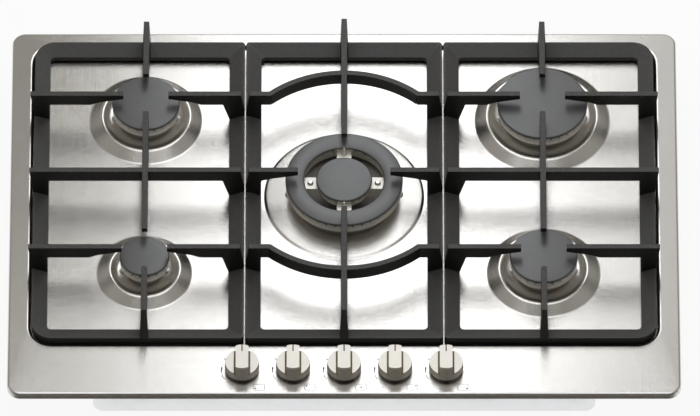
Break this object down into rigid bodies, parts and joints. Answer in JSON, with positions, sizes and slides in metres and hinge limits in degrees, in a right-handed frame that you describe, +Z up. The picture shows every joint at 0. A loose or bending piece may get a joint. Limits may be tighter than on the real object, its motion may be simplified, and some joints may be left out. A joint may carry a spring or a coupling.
{
  "type": "gas cooktop",
  "caption": "Built-in gas cooktop: brushed steel plate, cast-iron pan supports that lift off, capped burners round a triple-crown one, front push-and-turn knobs, casing, taps, pipes.",
  "frame": {"origin": "on the middle line of the top plate's width and depth, level with the underside of the casing", "axes": "+X to the right as seen by the cook, +Y towards the wall, +Z up"},
  "size_m": [0.74, 0.51, 0.098],
  "materials": {
    "brushed_plate": "brushed stainless steel, satin",
    "galvanised": "bare zinc-coated sheet, dull",
    "foam": "closed-cell foam strip, matte",
    "cast_cup": "die-cast aluminium, dull",
    "flame_crown": "machined die-cast aluminium, satin",
    "enamel_cap": "matt dark enamel on steel",
    "brass": "turned brass",
    "screw_steel": "zinc-plated steel",
    "ceramic": "glazed white ceramic",
    "sensor_metal": "bright metal probe",
    "tap_metal": "die-cast aluminium, satin",
    "spindle_steel": "turned steel",
    "rubber": "black silicone rubber, matte",
    "knob_finish": "satin champagne-silver",
    "rail_steel": "zinc-plated steel tube",
    "pipe_aluminium": "drawn aluminium tube",
    "unit_plastic": "moulded pale plastic",
    "gland_plastic": "black moulded plastic",
    "cast_iron": "fine-grained matt enamelled cast iron"
  },
  "bodies": {
    "root": {"top_plate": "brushed_plate", "bottom_casing": "galvanised", "rim_seal": "foam", "burner_cup_front_left": "cast_cup", "burner_cup_back_left": "cast_cup", "burner_cup_middle": "cast_cup", "burner_cup_back_right": "cast_cup", "burner_cup_front_right": "cast_cup", "gas_jets": "brass", "cup_screws": "screw_steel", "spark_plugs": "ceramic", "flame_sensors": "sensor_metal", "tap_body_1": "tap_metal", "tap_body_2": "tap_metal", "tap_body_3": "tap_metal", "tap_body_4": "tap_metal", "tap_body_5": "tap_metal", "spindle_boots": "rubber", "gas_rail": "rail_steel", "gas_inlet": "brass", "feed_pipe_front_left": "pipe_aluminium", "feed_pipe_back_left": "pipe_aluminium", "feed_pipe_middle": "pipe_aluminium", "feed_pipe_back_right": "pipe_aluminium", "feed_pipe_front_right": "pipe_aluminium", "spark_unit": "unit_plastic", "mains_gland": "gland_plastic"},
    "support_left": {"pan_support_left": "cast_iron", "support_feet_left": "rubber"},
    "support_middle": {"pan_support_middle": "cast_iron", "support_feet_middle": "rubber"},
    "support_right": {"pan_support_right": "cast_iron", "support_feet_right": "rubber"},
    "crown_front_left": {"flame_crown_front_left": "flame_crown"},
    "burner_cap_front_left": {"cap_front_left": "enamel_cap"},
    "crown_back_left": {"flame_crown_back_left": "flame_crown"},
    "burner_cap_back_left": {"cap_back_left": "enamel_cap"},
    "crown_middle": {"flame_crown_middle": "flame_crown", "crown_screws": "screw_steel"},
    "ring_cap": {"ring_cap_middle": "enamel_cap"},
    "core_cap": {"core_cap_middle": "enamel_cap"},
    "crown_back_right": {"flame_crown_back_right": "flame_crown"},
    "burner_cap_back_right": {"cap_back_right": "enamel_cap"},
    "crown_front_right": {"flame_crown_front_right": "flame_crown"},
    "burner_cap_front_right": {"cap_front_right": "enamel_cap"},
    "plug_1": {"tap_plug_1": "brass"},
    "knob_set_1": {"spindle_1": "spindle_steel", "knob_1": "knob_finish"},
    "plug_2": {"tap_plug_2": "brass"},
    "knob_set_2": {"spindle_2": "spindle_steel", "knob_2": "knob_finish"},
    "plug_3": {"tap_plug_3": "brass"},
    "knob_set_3": {"spindle_3": "spindle_steel", "knob_3": "knob_finish"},
    "plug_4": {"tap_plug_4": "brass"},
    "knob_set_4": {"spindle_4": "spindle_steel", "knob_4": "knob_finish"},
    "plug_5": {"tap_plug_5": "brass"},
    "knob_set_5": {"spindle_5": "spindle_steel", "knob_5": "knob_finish"}
  },
  "joints": [
    {"name": "support_left_lift", "type": "slide", "parent": "root", "child": "support_left", "axis": [0, 0, 1], "range_m": [0, 0.12]},
    {"name": "support_middle_lift", "type": "slide", "parent": "root", "child": "support_middle", "axis": [0, 0, 1], "range_m": [0, 0.12]},
    {"name": "support_right_lift", "type": "slide", "parent": "root", "child": "support_right", "axis": [0, 0, 1], "range_m": [0, 0.12]},
    {"name": "crown_front_left_lift", "type": "slide", "parent": "root", "child": "crown_front_left", "axis": [0, 0, 1], "range_m": [0, 0.0015]},
    {"name": "cap_front_left_lift", "type": "slide", "parent": "crown_front_left", "child": "burner_cap_front_left", "axis": [0, 0, 1], "range_m": [0, 0.0025]},
    {"name": "crown_back_left_lift", "type": "slide", "parent": "root", "child": "crown_back_left", "axis": [0, 0, 1], "range_m": [0, 0.0015]},
    {"name": "cap_back_left_lift", "type": "slide", "parent": "crown_back_left", "child": "burner_cap_back_left", "axis": [0, 0, 1], "range_m": [0, 0.0025]},
    {"name": "crown_middle_lift", "type": "slide", "parent": "root", "child": "crown_middle", "axis": [0, 0, 1], "range_m": [0, 0.0015]},
    {"name": "ring_cap_lift", "type": "slide", "parent": "crown_middle", "child": "ring_cap", "axis": [0, 0, 1], "range_m": [0, 0.0025]},
    {"name": "core_cap_lift", "type": "slide", "parent": "crown_middle", "child": "core_cap", "axis": [0, 0, 1], "range_m": [0, 0.0025]},
    {"name": "crown_back_right_lift", "type": "slide", "parent": "root", "child": "crown_back_right", "axis": [0, 0, 1], "range_m": [0, 0.0015]},
    {"name": "cap_back_right_lift", "type": "slide", "parent": "crown_back_right", "child": "burner_cap_back_right", "axis": [0, 0, 1], "range_m": [0, 0.0025]},
    {"name": "crown_front_right_lift", "type": "slide", "parent": "root", "child": "crown_front_right", "axis": [0, 0, 1], "range_m": [0, 0.0015]},
    {"name": "cap_front_right_lift", "type": "slide", "parent": "crown_front_right", "child": "burner_cap_front_right", "axis": [0, 0, 1], "range_m": [0, 0.0025]},
    {"name": "knob_1_turn", "type": "hinge", "parent": "root", "child": "plug_1", "pos_m": [-0.112, -0.221, 0.03], "axis": [0, 0, 1], "range_deg": [0, 165]},
    {"name": "knob_1_push", "type": "slide", "parent": "plug_1", "child": "knob_set_1", "axis": [0, 0, -1], "range_m": [0, 0.003], "stiffness_N_per_m": 2000, "springref_m": -0.001},
    {"name": "knob_2_turn", "type": "hinge", "parent": "root", "child": "plug_2", "pos_m": [-0.056, -0.221, 0.03], "axis": [0, 0, 1], "range_deg": [0, 165]},
    {"name": "knob_2_push", "type": "slide", "parent": "plug_2", "child": "knob_set_2", "axis": [0, 0, -1], "range_m": [0, 0.003], "stiffness_N_per_m": 2000, "springref_m": -0.001},
    {"name": "knob_3_turn", "type": "hinge", "parent": "root", "child": "plug_3", "pos_m": [0, -0.221, 0.03], "axis": [0, 0, 1], "range_deg": [0, 165]},
    {"name": "knob_3_push", "type": "slide", "parent": "plug_3", "child": "knob_set_3", "axis": [0, 0, -1], "range_m": [0, 0.003], "stiffness_N_per_m": 2000, "springref_m": -0.001},
    {"name": "knob_4_turn", "type": "hinge", "parent": "root", "child": "plug_4", "pos_m": [0.056, -0.221, 0.03], "axis": [0, 0, 1], "range_deg": [0, 165]},
    {"name": "knob_4_push", "type": "slide", "parent": "plug_4", "child": "knob_set_4", "axis": [0, 0, -1], "range_m": [0, 0.003], "stiffness_N_per_m": 2000, "springref_m": -0.001},
    {"name": "knob_5_turn", "type": "hinge", "parent": "root", "child": "plug_5", "pos_m": [0.112, -0.221, 0.03], "axis": [0, 0, 1], "range_deg": [0, 165]},
    {"name": "knob_5_push", "type": "slide", "parent": "plug_5", "child": "knob_set_5", "axis": [0, 0, -1], "range_m": [0, 0.003], "stiffness_N_per_m": 2000, "springref_m": -0.001}
  ]
}
